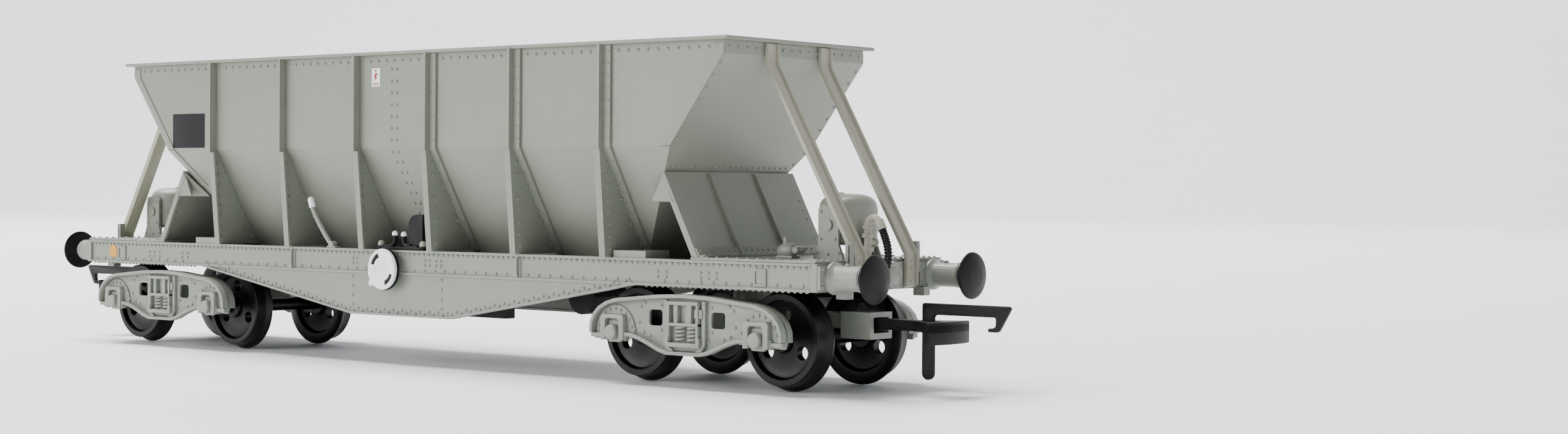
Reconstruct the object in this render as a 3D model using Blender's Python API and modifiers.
"""Four-millimetre-scale model of a bogie hopper wagon.

+X runs along the wagon, the handbrake wheel is on the -Y side, +Z is up,
and the origin is on the surface that the wheel flanges stand on.
"""

import math

import bmesh
import bpy
from mathutils import Matrix, Vector

MM = 0.001
GAP = 0.05

# Running gear
BOGIE_X = 58.24
AXLE_OFFSET = 12.86
AXLE_Z = 7.0
FLANGE_R = 7.0
TREAD_R = 6.25
BACK_TO_BACK = 14.5
FRAME_Y = 13.95

# Underframe
SOLEBAR_TOP = 17.4
SOLEBAR_BOTTOM = 13.7
SOLEBAR_Y = 14.2
BELLY_Z = 7.4
BELLY_FLAT_X = 11.0
BELLY_TIP_X = 48.5
STIFFENER_X = 25.3
SHOE_X = 47.2
HEADSTOCK_X = 80.3
DECK_TOP = 17.75
DECK_START_X = 58.6
BUFFER_Y = 11.05
BUFFER_Z = 15.5
HEAD_R = 3.2

# Hopper
RIM_X = 66.5
RIM_Y = 16.25
RIM_TOP = 47.3
RIM_DEPTH = 0.8
SIDE_Y = 15.2
END_X = 65.3
END_BEND_Z = 45.0
END_SLOPE = 0.775
KNEE_Z = 32.8
SIDE_SLOPE = 0.577
SHEET = 0.7
HOPPER_BOTTOM = 15.6
FOLD_Z = 29.3
POST_XS = (8.0, 25.7, 43.4)

# End gear
APRON_Y = 14.0
APRON_RIB_Y = 4.9
STRUT_YS = (-6.9, 4.75)
STRUT_WIDTH = 2.15
STRUT_FLAT = 0.45
STRUT_LEG = 1.15
DRUM_R = 3.95
DRUM_XS = {"a": 75.4, "b": 74.5}
PIPE_X = 79.4
PIPE_Y = -2.1

for old in list(bpy.data.objects):
    bpy.data.objects.remove(old, do_unlink=True)

scene_collection = bpy.context.scene.collection
parts = bpy.data.collections.new("hopper_wagon")
tools = bpy.data.collections.new("tools")
scene_collection.children.link(parts)
scene_collection.children.link(tools)


def make_material(name, color, roughness, metallic=0.0):
    material = bpy.data.materials.new(name)
    material.use_nodes = True
    shader = material.node_tree.nodes["Principled BSDF"]
    shader.inputs["Base Color"].default_value = (*color, 1.0)
    shader.inputs["Roughness"].default_value = roughness
    shader.inputs["Metallic"].default_value = metallic
    return material


body_grey = make_material("body_grey", (0.36, 0.37, 0.31), 0.45)
frame_grey = make_material("frame_grey", (0.38, 0.39, 0.34), 0.45)
pipe_cream = make_material("pipe_cream", (0.52, 0.51, 0.42), 0.4)
black_plastic = make_material("black_plastic", (0.02, 0.02, 0.022), 0.5)
wheel_black = make_material("wheel_black", (0.012, 0.012, 0.013), 0.38)
buffer_black = make_material("buffer_black", (0.045, 0.042, 0.045), 0.4)
hose_rubber = make_material("hose_rubber", (0.015, 0.014, 0.018), 0.6)
wheel_white = make_material("wheel_white", (0.8, 0.8, 0.82), 0.4)


def add_object(name, mesh, material, collection=parts):
    obj = bpy.data.objects.new(name, mesh)
    collection.objects.link(obj)
    mesh.materials.clear()
    mesh.materials.append(material)
    if collection is tools:
        obj.hide_render = True
        obj.display_type = "WIRE"
    return obj


def make_box(name, low, high, material, collection=parts):
    """A box between two corners given in millimetres."""
    low = Vector(low) * MM
    high = Vector(high) * MM
    size = high - low
    bm = bmesh.new()
    bmesh.ops.create_cube(bm, size=1.0)
    bmesh.ops.scale(bm, vec=(abs(size.x), abs(size.y), abs(size.z)), verts=bm.verts)
    mesh = bpy.data.meshes.new(name)
    bm.to_mesh(mesh)
    bm.free()
    obj = add_object(name, mesh, material, collection)
    obj.location = (low + high) / 2
    return obj


def make_rod(name, start, end, radius, material, collection=parts, sides=20):
    """A round bar between two points given in millimetres."""
    start = Vector(start) * MM
    end = Vector(end) * MM
    bm = bmesh.new()
    bmesh.ops.create_cone(
        bm, cap_ends=True, segments=sides, radius1=radius * MM, radius2=radius * MM,
        depth=(end - start).length,
    )
    mesh = bpy.data.meshes.new(name)
    bm.to_mesh(mesh)
    bm.free()
    mesh.shade_smooth()
    mesh.set_sharp_from_angle(angle=math.radians(40))
    obj = add_object(name, mesh, material, collection)
    obj.location = (start + end) / 2
    obj.rotation_euler = (end - start).to_track_quat("Z", "Y").to_euler()
    return obj


def curve_to_mesh(curve_obj, name, material, collection):
    """Replaces a curve object by its closed mesh."""
    graph = bpy.context.evaluated_depsgraph_get()
    mesh = bpy.data.meshes.new_from_object(curve_obj.evaluated_get(graph))
    bm = bmesh.new()
    bm.from_mesh(mesh)
    bmesh.ops.remove_doubles(bm, verts=bm.verts, dist=1e-6)
    bmesh.ops.recalc_face_normals(bm, faces=bm.faces)
    bm.to_mesh(mesh)
    bm.free()
    matrix = curve_obj.matrix_world.copy()
    bpy.data.objects.remove(curve_obj, do_unlink=True)
    obj = add_object(name, mesh, material, collection)
    obj.matrix_world = matrix
    return obj


def make_plate(name, outlines, low, high, plane, material, collection=parts):
    """A flat plate: outlines in millimetres, extruded from low to high along the third axis.

    plane "XZ" extrudes along Y, "YZ" along X and "XY" along Z. Further outlines are holes.
    """
    curve = bpy.data.curves.new(name + "_outline", "CURVE")
    curve.dimensions = "2D"
    curve.fill_mode = "BOTH"
    curve.extrude = (high - low) / 2 * MM
    for outline in outlines:
        spline = curve.splines.new("POLY")
        spline.points.add(len(outline) - 1)
        for point, (u, v) in zip(spline.points, outline):
            point.co = (u * MM, v * MM, 0.0, 1.0)
        spline.use_cyclic_u = True
    guide = bpy.data.objects.new(name + "_curve", curve)
    tools.objects.link(guide)
    middle = (low + high) / 2 * MM
    matrices = {
        "XY": Matrix.Translation((0, 0, middle)),
        "XZ": Matrix.Translation((0, middle, 0)) @ Matrix.Rotation(math.pi / 2, 4, "X"),
        "YZ": Matrix(((0, 0, 1, middle), (1, 0, 0, 0), (0, 1, 0, 0), (0, 0, 0, 1))),
    }
    guide.matrix_world = matrices[plane]
    bpy.context.view_layer.update()
    return curve_to_mesh(guide, name, material, collection)


def make_turned(name, profile, axis, location, material, collection=parts, steps=32):
    """A turned piece: profile is (radius, height) in millimetres, top to bottom."""
    mesh = bpy.data.meshes.new(name)
    verts = [(radius * MM, 0.0, height * MM) for radius, height in profile]
    edges = [(i, i + 1) for i in range(len(profile) - 1)]
    mesh.from_pydata(verts, edges, [])
    obj = add_object(name, mesh, material, collection)
    screw = obj.modifiers.new("turn", "SCREW")
    screw.axis = "Z"
    screw.steps = steps
    screw.render_steps = steps
    screw.use_smooth_shade = True
    screw.use_merge_vertices = True
    screw.merge_threshold = 0.000001
    obj.location = Vector(location) * MM
    obj.rotation_euler = Vector(axis).to_track_quat("Z", "Y").to_euler()
    return obj


def make_tube(name, points, radius, material, collection=parts, resolution=2):
    """A round tube along points given in millimetres."""
    curve = bpy.data.curves.new(name, "CURVE")
    curve.dimensions = "3D"
    curve.bevel_depth = radius * MM
    curve.bevel_resolution = resolution
    curve.use_fill_caps = True
    spline = curve.splines.new("POLY")
    spline.points.add(len(points) - 1)
    for point, place in zip(spline.points, points):
        point.co = (*(Vector(place) * MM), 1.0)
    curve.materials.append(material)
    obj = bpy.data.objects.new(name, curve)
    collection.objects.link(obj)
    return obj


def bake(obj):
    """Applies the object's modifiers and its placing, so that its mesh is in world space."""
    bpy.context.view_layer.update()
    graph = bpy.context.evaluated_depsgraph_get()
    mesh = bpy.data.meshes.new_from_object(obj.evaluated_get(graph))
    mesh.transform(obj.matrix_world)
    old = obj.data
    obj.modifiers.clear()
    obj.data = mesh
    obj.matrix_world = Matrix.Identity(4)
    if old.users == 0:
        bpy.data.meshes.remove(old)
    return obj


def combine(base, helpers, operation="UNION"):
    """Joins helpers to the base piece, or cuts them from it, and removes the helpers."""
    for helper in helpers:
        cut = base.modifiers.new(helper.name, "BOOLEAN")
        cut.operation = operation
        cut.solver = "EXACT"
        cut.object = helper
    bake(base)
    for helper in helpers:
        bpy.data.objects.remove(helper, do_unlink=True)
    return base


def turned_half(obj, name):
    """A copy of a piece, turned half a turn about Z, so that it serves the other end or side."""
    mesh = obj.data.copy()
    mesh.transform(Matrix.Rotation(math.pi, 4, "Z"))
    copy = bpy.data.objects.new(name, mesh)
    parts.objects.link(copy)
    return copy


def mirrored(obj, name, axis):
    """A mirror copy of a piece in the plane through the origin square to axis."""
    mesh = obj.data.copy()
    normal = Vector((axis == "X", axis == "Y", 0))
    mesh.transform(Matrix.Scale(-1, 4, normal))
    mesh.flip_normals()
    copy = bpy.data.objects.new(name, mesh)
    parts.objects.link(copy)
    return copy


def set_origin(obj, point):
    """Moves the origin to a point in millimetres and leaves the piece where it is."""
    point = Vector(point) * MM
    obj.data.transform(Matrix.Translation(-point))
    obj.location = point


def shade(obj, degrees=35):
    obj.data.shade_smooth()
    obj.data.set_sharp_from_angle(angle=math.radians(degrees))


def end_x(z):
    """Half length of the hopper at a height."""
    return END_X - max(0.0, END_BEND_Z - z) * END_SLOPE


def side_y(z):
    """Half width of the hopper at a height."""
    return SIDE_Y - max(0.0, KNEE_Z - z) * SIDE_SLOPE


def build_hopper():
    top = RIM_TOP - RIM_DEPTH - GAP
    levels = (top, END_BEND_Z, KNEE_Z, HOPPER_BOTTOM)
    corners = ((1, 1), (-1, 1), (-1, -1), (1, -1))
    bm = bmesh.new()
    rings = []
    for z in levels:
        ring = [bm.verts.new((sx * end_x(z) * MM, sy * side_y(z) * MM, z * MM)) for sx, sy in corners]
        rings.append(ring)
    for upper, lower in zip(rings, rings[1:]):
        for i in range(4):
            j = (i + 1) % 4
            bm.faces.new((upper[i], upper[j], lower[j], lower[i]))
    bm.faces.new(rings[-1])
    bmesh.ops.recalc_face_normals(bm, faces=bm.faces)
    mesh = bpy.data.meshes.new("hopper_shell")
    bm.to_mesh(mesh)
    bm.free()
    shell = add_object("hopper_shell", mesh, body_grey)
    if mesh.polygons[0].normal.x < 0:
        mesh.flip_normals()
    wall = shell.modifiers.new("wall", "SOLIDIFY")
    wall.thickness = SHEET * MM
    wall.offset = -1.0
    wall.use_even_offset = True
    wall.use_quality_normals = True
    return bake(shell)


def rectangle(half_x, half_y):
    return [(half_x, half_y), (-half_x, half_y), (-half_x, -half_y), (half_x, -half_y)]


def build_rim():
    inner = rectangle(END_X - SHEET, SIDE_Y - SHEET)
    outer = rectangle(RIM_X, RIM_Y)
    return make_plate("rim_flange", [outer, inner], RIM_TOP - RIM_DEPTH, RIM_TOP, "XY", body_grey)


def build_stanchion(post_x, name):
    """An angle post on the hopper's upper side, running on down the slope, with its gusset."""
    leg = 0.45
    flat = 0.35
    top = RIM_TOP - RIM_DEPTH - GAP
    foot = SOLEBAR_TOP + GAP
    face = SIDE_Y + GAP
    slope_foot = side_y(foot) + GAP * 1.2
    web = [
        (-face, top), (-face - 1.2, top), (-face - 1.2, KNEE_Z - 0.3), (-face - 1.0, KNEE_Z - 0.5),
        (-face + 0.25, foot), (-slope_foot, foot), (-face, KNEE_Z),
    ]
    strip = [
        (-face, top), (-face - flat, top), (-face - flat, KNEE_Z - 0.1),
        (-slope_foot - flat * 1.15, foot), (-slope_foot, foot), (-face, KNEE_Z),
    ]
    front = [
        (-face - 1.0, KNEE_Z - 0.5), (-face + 0.25, foot), (-face + 0.6, foot),
        (-face - 0.65, KNEE_Z - 0.5),
    ]
    base = make_plate(name, [web], post_x - leg / 2, post_x + leg / 2, "YZ", body_grey)
    low = post_x - leg / 2 + 0.02
    flat_leg = make_plate(name + "_leg", [strip], low, post_x + 1.5, "YZ", body_grey, tools)
    high = post_x + leg / 2 - 0.02
    flange = make_plate(name + "_flange", [front], post_x - 0.9, high, "YZ", body_grey, tools)
    return combine(base, [flat_leg, flange])


def build_stanchions():
    for index, post_x in enumerate(POST_XS, start=4):
        near = build_stanchion(post_x, f"stanchion_near_{index}")
        mirrored(near, f"stanchion_near_{7 - index}", "X")
        far = mirrored(near, f"stanchion_far_{index}", "Y")
        mirrored(far, f"stanchion_far_{7 - index}", "X")


def build_apron(name):
    """The sloping end panel with its ribs, edge flanges and small closing gussets."""
    top_x = end_x(FOLD_Z) + 0.45
    foot_x = top_x + 6.2
    foot_z = DECK_TOP + GAP
    panel = [(top_x, FOLD_Z), (foot_x, foot_z), (foot_x - 0.5, foot_z), (top_x - 0.35, FOLD_Z - 0.35)]
    base = make_plate(name, [panel], -APRON_Y + 0.1, APRON_Y - 0.1, "XZ", body_grey)
    pieces = []
    edge = [(top_x, FOLD_Z), (foot_x, foot_z), (foot_x - 1.1, foot_z), (top_x - 0.4, FOLD_Z - 1.2)]
    low_z = FOLD_Z - 4.0
    closing = [(top_x - 0.2, FOLD_Z - 0.2), (top_x + 1.9, low_z), (end_x(low_z) + 1.4, low_z)]
    rib = [
        (top_x - 0.15, FOLD_Z - 0.2), (top_x + 0.6, FOLD_Z - 0.2),
        (foot_x + 0.6, foot_z + 0.02), (foot_x - 0.2, foot_z + 0.02),
    ]
    for sign in (-1, 1):
        outer = sign * APRON_Y
        inner = sign * (APRON_Y - 0.45)
        low, high = sorted((outer, inner))
        pieces.append(make_plate(f"{name}_edge{sign}", [edge], low, high, "XZ", body_grey, tools))
        low, high = sorted((sign * (APRON_Y - 0.05), sign * (APRON_Y - 0.4)))
        pieces.append(make_plate(f"{name}_closing{sign}", [closing], low, high, "XZ", body_grey, tools))
        low = sign * APRON_RIB_Y - 0.2
        pieces.append(make_plate(f"{name}_rib{sign}", [rib], low, low + 0.4, "XZ", body_grey, tools))
    return combine(base, pieces)


def build_solebar(name):
    """The channel solebar on the near side, with the fishbelly plate below its middle."""
    end = HEADSTOCK_X - 1.0 - GAP
    outer = -SOLEBAR_Y
    web = [
        (-end, SOLEBAR_TOP - 0.1), (-end, SOLEBAR_BOTTOM + 0.1), (-BELLY_TIP_X, SOLEBAR_BOTTOM + 0.1),
        (-BELLY_FLAT_X, BELLY_Z + 0.1), (BELLY_FLAT_X, BELLY_Z + 0.1), (BELLY_TIP_X, SOLEBAR_BOTTOM + 0.1),
        (end, SOLEBAR_BOTTOM + 0.1), (end, SOLEBAR_TOP - 0.1),
    ]
    belly = [
        (-BELLY_TIP_X, SOLEBAR_BOTTOM), (-BELLY_FLAT_X, BELLY_Z), (BELLY_FLAT_X, BELLY_Z),
        (BELLY_TIP_X, SOLEBAR_BOTTOM), (BELLY_TIP_X, SOLEBAR_BOTTOM + 0.35),
        (BELLY_FLAT_X, BELLY_Z + 0.35), (-BELLY_FLAT_X, BELLY_Z + 0.35),
        (-BELLY_TIP_X, SOLEBAR_BOTTOM + 0.35),
    ]
    base = make_plate(name, [web], outer + 0.35, outer + 0.85, "XZ", frame_grey)
    low = (-end + 0.02, outer, SOLEBAR_TOP - 0.35)
    high = (end - 0.02, outer + 2.0, SOLEBAR_TOP)
    pieces = [make_box(name + "_top", low, high, frame_grey, tools)]
    low = (-end + 0.03, outer + 0.02, SOLEBAR_BOTTOM - 0.01)
    high = (end - 0.03, outer + 0.8, SOLEBAR_BOTTOM + 0.33)
    pieces.append(make_box(name + "_low", low, high, frame_grey, tools))
    pieces.append(make_plate(name + "_belly", [belly], outer + 0.01, outer + 1.3, "XZ", frame_grey, tools))
    for sign in (-1, 1):
        middle = sign * STIFFENER_X
        low = (middle - 0.35, outer + 0.05, SOLEBAR_BOTTOM + 0.2)
        high = (middle + 0.35, outer + 0.6, SOLEBAR_TOP - 0.2)
        pieces.append(make_box(f"{name}_stiffener{sign}", low, high, frame_grey, tools))
        middle = sign * SHOE_X
        low = (middle - 3.0, -13.9, SOLEBAR_TOP - 0.1)
        high = (middle + 3.0, -9.0, SOLEBAR_TOP + 1.0)
        pieces.append(make_box(f"{name}_shoe{sign}", low, high, frame_grey, tools))
    return combine(base, pieces)


def build_headstock(name):
    face = HEADSTOCK_X
    half = SOLEBAR_Y
    base = make_box(name, (face - 1.0, -half, SOLEBAR_BOTTOM), (face, half, SOLEBAR_TOP), frame_grey)
    start = (face - 0.3, 0, BUFFER_Z + 0.2)
    end = (face + 2.0, 0, BUFFER_Z + 0.2)
    pieces = [make_rod(name + "_boss", start, end, 1.85, frame_grey, tools, 20)]
    for sign in (-1, 1):
        iron_y = sign * 7.42
        low = (face - 0.3, iron_y - 0.4, SOLEBAR_TOP - 1.2)
        high = (face + 0.45, iron_y + 0.4, SOLEBAR_TOP + 2.7)
        pieces.append(make_box(f"{name}_iron{sign}", low, high, frame_grey, tools))
        low = (face - 0.6, sign * 8.6 - 0.7, SOLEBAR_BOTTOM - 1.0)
        high = (face + 1.2, sign * 8.6 + 0.7, SOLEBAR_BOTTOM + 0.2)
        pieces.append(make_box(f"{name}_step{sign}", low, high, frame_grey, tools))
    return combine(base, pieces)


def build_platform(name, drum_x):
    """The end deck with the two plates that carry the brake drum."""
    base = make_box(
        name, (DECK_START_X, -14.1, SOLEBAR_TOP + GAP), (HEADSTOCK_X - 0.4, 14.1, DECK_TOP), frame_grey
    )
    pieces = []
    half = [(2.6, DECK_TOP - 0.1), (1.7, DECK_TOP + 2.0), (1.7, 24.4), (1.2, 24.9)]
    outline = [(drum_x - x, z) for x, z in half] + [(drum_x + x, z) for x, z in reversed(half)]
    for sign in (-1, 1):
        low, high = sorted((sign * (DRUM_R + GAP), sign * (DRUM_R + GAP + 0.4)))
        pieces.append(make_plate(f"{name}_bracket{sign}", [outline], low, high, "XZ", frame_grey, tools))
        start = (drum_x, sign * (DRUM_R + 0.3), 22.3)
        end = (drum_x, sign * (DRUM_R + 0.72), 22.3)
        pieces.append(make_rod(f"{name}_bolt{sign}", start, end, 0.75, frame_grey, tools, 12))
    return combine(base, pieces)


def build_drum(name, drum_x):
    bottom = DECK_TOP + 0.9
    profile = [
        (0, 26.5), (1.6, 26.3), (2.9, 25.7), (3.7, 24.8), (DRUM_R, 23.9),
        (DRUM_R, bottom + 0.5), (3.6, bottom), (0, bottom),
    ]
    return bake(make_turned(name, profile, (0, 0, 1), (drum_x, 0, 0), body_grey, steps=28))


def build_strut(name, low_y):
    """An angle strut from under the rim down to the headstock's face."""
    top_x = END_X + GAP
    foot_x = HEADSTOCK_X + GAP
    top = RIM_TOP - RIM_DEPTH - GAP
    bend = 43.8
    knee = 18.2
    bottom = 13.8

    def band(depth, trim):
        inner = [(top_x, top - trim), (top_x, bend), (foot_x, knee), (foot_x, bottom + trim)]
        outer = [(x + depth, z) for x, z in inner]
        outer[1] = (top_x + depth, bend + depth / 4)
        outer[2] = (foot_x + depth, knee + depth / 4)
        return inner + outer[::-1]

    high_y = low_y + STRUT_WIDTH
    base = make_plate(name, [band(STRUT_FLAT, 0.0)], low_y, high_y, "XZ", pipe_cream)
    leg = [band(STRUT_LEG, 0.35)]
    rib = make_plate(name + "_rib", leg, high_y - STRUT_FLAT, high_y - 0.01, "XZ", pipe_cream, tools)
    return combine(base, [rib])


def smooth_route(points, count):
    """Points on a smooth curve through the route's own points."""
    out = []
    last = len(points) - 1
    for i in range(last):
        a = Vector(points[max(i - 1, 0)])
        b = Vector(points[i])
        c = Vector(points[i + 1])
        d = Vector(points[min(i + 2, last)])
        for k in range(count):
            t = k / count
            square = (2 * a - 5 * b + 4 * c - d) * t**2
            cube = (3 * b - a - 3 * c + d) * t**3
            out.append(0.5 * (2 * b + (c - a) * t + square + cube))
    out.append(Vector(points[-1]))
    return out


def build_brake_pipe(name, sign):
    """The standpipe and its elbow; sign turns it to the other end."""
    x = PIPE_X
    route = [(x, PIPE_Y, DECK_TOP + GAP), (x, PIPE_Y, 21.9)]
    steps = 6
    for k in range(1, steps + 1):
        angle = math.pi - k * math.radians(150) / steps
        route.append((x + 1.0 + math.cos(angle), PIPE_Y - 0.02 * k, 22.2 + 1.1 * math.sin(angle)))
    turned = [(px * sign, py * sign, pz) for px, py, pz in route]
    return make_tube(name, turned, 0.5, pipe_cream)


def build_hose(name, sign):
    route = [
        (81.55, -2.25, 22.45), (82.25, -2.25, 21.0), (82.85, -2.3, 19.4), (83.1, -2.55, 17.6),
        (82.7, -2.9, 15.9), (81.8, -3.1, 14.8), (80.95, -3.2, 14.4),
    ]
    turned = [(px * sign, py * sign, pz) for px, py, pz in route]
    return make_tube(name, smooth_route(turned, 3), 0.52, hose_rubber)


def build_handwheel():
    """The dished handbrake wheel on its short shaft."""
    centre = (-2.1, -15.2, 14.5)
    profile = [
        (0, 0.5), (1.3, 0.55), (1.6, 0.8), (2.9, 0.8), (3.08, 0.6),
        (3.08, 0.0), (0.8, 0.0), (0.8, -0.9), (0, -0.9),
    ]
    disc = make_turned("handbrake_wheel", profile, (0, -1, 0), centre, wheel_white, steps=32)
    bake(disc)
    lug = make_rod("handbrake_lug", (-4.7, -15.3, 12.3), (-4.7, -15.7, 12.3), 0.45, wheel_white, tools, 12)
    combine(disc, [lug])
    shade(disc)
    return disc


def build_side_lever():
    foot = (-15.8, -13.8, SOLEBAR_TOP + 0.25)
    route = [foot, (-17.8, -14.0, 20.1), (-19.6, -14.1, 22.6), (-20.4, -14.1, 24.3)]
    return make_tube("brake_lever", route, 0.32, frame_grey)


def build_door_levers():
    """The group of door levers on a common base above the solebar."""
    floor = SOLEBAR_TOP + GAP
    foot = floor + 0.3
    base = make_box("door_levers", (-5.3, -14.0, floor), (5.3, -13.0, floor + 0.5), black_plastic)
    pieces = [make_box("door_box", (1.6, -13.6, foot), (4.6, -12.9, 22.6), black_plastic, tools)]
    for x, radius, top in ((-1.5, 0.38, 20.2), (0.5, 0.38, 20.1), (-4.6, 0.5, 18.65), (4.75, 0.5, 18.65)):
        start = (x, -13.55, foot)
        end = (x, -13.55, top)
        pieces.append(make_rod(f"door_rod_{x}", start, end, radius, black_plastic, tools, 10))
    return combine(base, pieces)


def build_train_pipe():
    route = [(-57.0, 15.75, 18.4), (57.0, 15.75, 18.4)]
    return make_tube("train_pipe", route, 0.4, frame_grey)


def build_spine():
    """The floor of the underframe with the two bogie pads and the gear that hangs below it."""
    base = make_box("underframe_floor", (-78.9, -13.2, 14.45), (78.9, 13.2, 15.5), black_plastic)
    pieces = []
    for sign in (-1, 1):
        x = sign * BOGIE_X
        pieces.append(make_rod(f"pad{sign}", (x, 0, 13.1), (x, 0, 14.6), 4.0, black_plastic, tools, 24))
    pieces.append(make_box("drop_plate", (-9.5, -1.0, 6.9), (9.5, 1.0, 14.6), black_plastic, tools))
    pieces.append(make_rod("cylinder", (28.0, -3.5, 11.0), (28.0, 3.5, 11.0), 2.6, black_plastic, tools, 20))
    pieces.append(make_box("cylinder_hanger", (27.2, -1.0, 11.0), (28.8, 1.0, 14.6), black_plastic, tools))
    return combine(base, pieces)


def build_buffer(name, sign_x, sign_y):
    y = sign_y * BUFFER_Y
    face = HEADSTOCK_X + GAP
    low_x, high_x = sorted((sign_x * face, sign_x * (face + 0.45)))
    guide = make_box(f"{name}_guide", (low_x, y - 3.1, 14.0), (high_x, y + 3.1, 17.1), frame_grey)
    start = (sign_x * (face + 0.2), y, BUFFER_Z)
    tube = make_rod(name + "_tube", start, (sign_x * (face + 5.4), y, BUFFER_Z), 1.65, frame_grey, tools, 24)
    combine(guide, [tube])
    start = (sign_x * (face + 3.4), y, BUFFER_Z)
    end = (sign_x * (face + 6.0), y, BUFFER_Z)
    bore = make_rod(name + "_bore", start, end, 1.1, frame_grey, tools, 20)
    combine(guide, [bore], "DIFFERENCE")
    profile = [
        (0, 7.75), (1.4, 7.6), (2.5, 7.3), (HEAD_R, 6.95),
        (HEAD_R, 6.7), (1.5, 6.35), (1.0, 6.2), (1.0, 4.7), (0, 4.7),
    ]
    seat = (sign_x * face, y, BUFFER_Z)
    head = make_turned(f"{name}_head", profile, (sign_x, 0, 0), seat, buffer_black, steps=22)
    return guide, bake(head)


def rounded_outline():
    """The bogie side frame's outline about its centre, in X and Z."""
    upper = [(17.25, 7.6), (16.9, 9.3), (16.0, 10.7), (14.6, 11.6), (12.6, 12.1), (8.6, 12.35), (4.0, 12.7)]
    lower = [(17.0, 6.1), (9.8, 6.35), (5.4, 4.9)]
    left_upper = [(-x, z) for x, z in reversed(upper)]
    left_lower = [(-x, z) for x, z in lower]
    return upper + left_upper + left_lower + list(reversed(lower))


def window(centre_x):
    half = 1.2
    return [(centre_x - half, 8.3), (centre_x + half, 8.3), (centre_x + half, 10.5), (centre_x - half, 10.5)]


def build_side_frame(name, bogie_x):
    """The near side frame of a bogie, with axleboxes, spring nest and windows."""
    outline = [(x + bogie_x, z) for x, z in rounded_outline()]
    holes = [[(x + bogie_x, z) for x, z in window(centre)] for centre in (-5.6, 5.6)]
    base = make_plate(name, [outline] + holes, -FRAME_Y - 0.55, -FRAME_Y, "XZ", frame_grey)
    pieces = []
    for sign in (-1, 1):
        axle_x = bogie_x + sign * AXLE_OFFSET
        low = (axle_x - 2.15, -FRAME_Y - 1.3, 5.9)
        high = (axle_x + 2.15, -FRAME_Y - 0.1, 9.5)
        pieces.append(make_box(f"{name}_guard{sign}", low, high, frame_grey, tools))
        start = (axle_x, -FRAME_Y - 1.0, AXLE_Z)
        end = (axle_x, -FRAME_Y - 1.85, AXLE_Z)
        pieces.append(make_rod(f"{name}_box{sign}", start, end, 0.85, frame_grey, tools, 16))
    low = (bogie_x - 2.9, -FRAME_Y - 1.25, 5.6)
    high = (bogie_x + 2.9, -FRAME_Y - 0.1, 11.8)
    pieces.append(make_box(name + "_nest", low, high, frame_grey, tools))
    rim = [(bogie_x + x * 1.004, z + 0.03) for x, z in rounded_outline()[:14]]
    inner = [(bogie_x + (x - bogie_x) * 0.965, z - 0.48) for x, z in reversed(rim)]
    outer = -FRAME_Y - 1.1
    flange = make_plate(name + "_flange", [rim + inner], outer, -FRAME_Y - 0.05, "XZ", frame_grey, tools)
    pieces.append(flange)
    return combine(base, pieces)


def build_bogie_bolster(name, sign):
    """The cross member, its pivot pad, the arm and the coupling pocket, on the wagon's end side."""
    x = BOGIE_X
    inner = FRAME_Y - GAP
    base = make_box(name, (x - 3.2, -inner, 7.6), (x + 3.2, inner, 11.6), frame_grey)
    pieces = [
        make_rod(name + "_pad", (x, 0, 11.4), (x, 0, 13.05), 3.0, frame_grey, tools, 24),
        make_box(name + "_arm", (x, -1.6, 8.4), (76.0, 1.6, 10.4), frame_grey, tools),
        make_box(name + "_tail", (x - 17.0, -1.6, 8.4), (x, 1.6, 10.4), frame_grey, tools),
        make_box(name + "_pocket", (75.2, -2.4, 7.1), (80.2, 2.4, 10.7), frame_grey, tools),
    ]
    combine(base, pieces)
    cavity = make_box(name + "_cavity", (76.4, -1.7, 7.9), (80.6, 1.7, 10.0), frame_grey, tools)
    combine(base, [cavity], "DIFFERENCE")
    if sign < 0:
        mesh = base.data
        mesh.transform(Matrix.Rotation(math.pi, 4, "Z"))
    return base


def build_wheelset(name, axle_x):
    """Two disc wheels with three holes each, on a pin-point axle."""
    inner = BACK_TO_BACK / 2
    half = [
        (0.0, 13.8), (0.9, 12.6), (0.9, 10.2), (1.6, 10.0), (1.6, 9.2), (5.0, 9.2), (5.2, 10.05),
        (TREAD_R, 10.0), (TREAD_R + 0.1, 8.1), (FLANGE_R, 7.6), (FLANGE_R - 0.1, inner),
        (5.1, inner), (5.0, 7.9), (1.2, 7.9),
    ]
    profile = half + [(radius, -y) for radius, y in reversed(half)]
    wheelset = bake(make_turned(name, profile, (0, 1, 0), (axle_x, 0, AXLE_Z), wheel_black, steps=20))
    drills = []
    for k in range(3):
        angle = math.radians(90 + 120 * k)
        x = axle_x + 3.35 * math.cos(angle)
        z = AXLE_Z + 3.35 * math.sin(angle)
        drills.append(make_rod(f"{name}_hole{k}", (x, -11, z), (x, 11, z), 0.95, wheel_black, tools, 8))
    combine(wheelset, drills, "DIFFERENCE")
    shade(wheelset)
    set_origin(wheelset, (axle_x, 0, AXLE_Z))
    return wheelset


def build_coupling(name, sign):
    """The coupling body: shank in the pocket, head plate and bumper bar."""
    plan = [
        (77.0, 1.1), (86.0, 1.1), (88.5, 2.6), (91.0, 4.66), (91.6, 4.3), (91.95, 2.2), (92.05, 0.0),
        (91.95, -2.2), (91.6, -4.3), (91.0, -4.66), (88.5, -2.6), (86.0, -1.1), (77.0, -1.1),
    ]
    slot = [(86.6, -0.45), (89.9, -0.45), (89.9, 0.45), (86.6, 0.45)]
    base = make_plate(name, [plan, slot], 8.45, 9.85, "XY", black_plastic)
    lip = [
        (91.0, 4.64), (91.58, 4.3), (91.93, 2.2), (92.03, 0.0), (91.93, -2.2), (91.58, -4.3),
        (91.0, -4.64), (91.2, -2.2), (91.3, 0.0), (91.2, 2.2),
    ]
    bumper = make_plate(name + "_lip", [lip], 6.95, 9.6, "XY", black_plastic, tools)
    combine(base, [bumper])
    if sign < 0:
        base.data.transform(Matrix.Rotation(math.pi, 4, "Z"))
    return base


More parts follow.
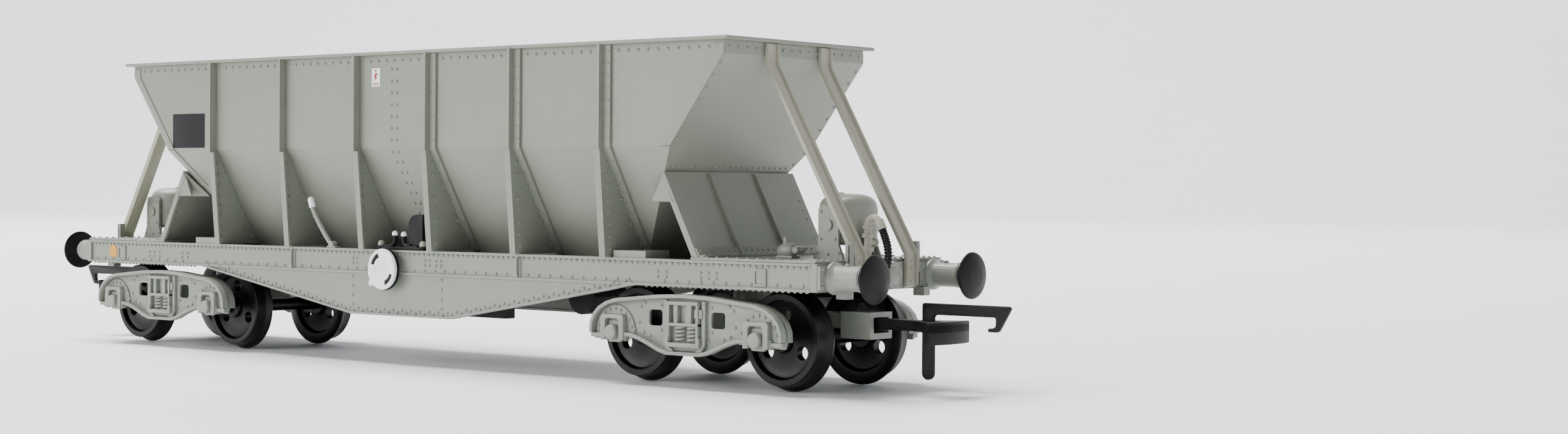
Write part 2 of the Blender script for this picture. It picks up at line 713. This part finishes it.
def build_hook(name, sign):
    """The coupling hook: a flat plate with the hook in front and the dropper below."""
    outline = [
        (87.05, 12.0), (87.25, 12.2), (100.5, 12.2), (100.8, 11.9), (99.1, 9.0), (98.7, 8.8),
        (97.5, 8.8), (97.4, 9.3), (98.3, 9.35), (98.6, 9.7), (98.6, 10.5), (98.4, 10.7),
        (88.85, 10.7), (88.85, 2.9), (88.0, 2.1), (87.05, 2.9),
    ]
    hook = make_plate(name, [outline], -0.3, 0.3, "XZ", black_plastic)
    bake(hook)
    if sign < 0:
        hook.data.transform(Matrix.Rotation(math.pi, 4, "Z"))
    set_origin(hook, (sign * 87.95, 0, 9.15))
    return hook


def place_pivot(name, x, children):
    """An empty on a bogie's pivot that carries the bogie's pieces."""
    pivot = bpy.data.objects.new(name, None)
    parts.objects.link(pivot)
    pivot.location = (x * MM, 0, 0)
    bpy.context.view_layer.update()
    for child in children:
        matrix = child.matrix_world.copy()
        child.parent = pivot
        child.matrix_parent_inverse = pivot.matrix_world.inverted()
        child.matrix_world = matrix


def build_bogie(end, sign):
    near = build_side_frame(f"bogie_{end}_frame_near", sign * BOGIE_X)
    far = mirrored(near, f"bogie_{end}_frame_far", "Y")
    children = [near, far, build_bogie_bolster(f"bogie_{end}_bolster", sign)]
    for index, offset in enumerate((-AXLE_OFFSET, AXLE_OFFSET), start=1):
        children.append(build_wheelset(f"wheelset_{end}{index}", sign * BOGIE_X + offset))
    children.append(build_coupling(f"coupling_{end}", sign))
    children.append(build_hook(f"coupling_hook_{end}", sign))
    place_pivot(f"bogie_{end}_pivot", sign * BOGIE_X, children)


def build_end_gear():
    apron = build_apron("end_apron_b")
    turned_half(apron, "end_apron_a")
    headstock = build_headstock("headstock_b")
    turned_half(headstock, "headstock_a")
    for index, low_y in enumerate(STRUT_YS, start=1):
        strut = build_strut(f"end_strut_b{index}", low_y)
        turned_half(strut, f"end_strut_a{index}")
    for end, drum_x in DRUM_XS.items():
        platform = build_platform(f"end_platform_{end}", drum_x)
        drum = build_drum(f"brake_drum_{end}", drum_x)
        if end == "a":
            platform.data.transform(Matrix.Rotation(math.pi, 4, "Z"))
            drum.data.transform(Matrix.Rotation(math.pi, 4, "Z"))
        shade(drum)
    for end, sign in (("a", -1), ("b", 1)):
        build_brake_pipe(f"brake_pipe_{end}", sign)
        build_hose(f"brake_hose_{end}", sign)
        for side, sign_y in (("near", -1), ("far", 1)):
            build_buffer(f"buffer_{end}_{side}", sign, sign_y)


build_hopper()
build_rim()
build_stanchions()
solebar = build_solebar("solebar_near")
mirrored(solebar, "solebar_far", "Y")
build_spine()
build_end_gear()
build_handwheel()
build_side_lever()
build_door_levers()
build_train_pipe()
for end_name, end_sign in (("a", -1), ("b", 1)):
    build_bogie(end_name, end_sign)
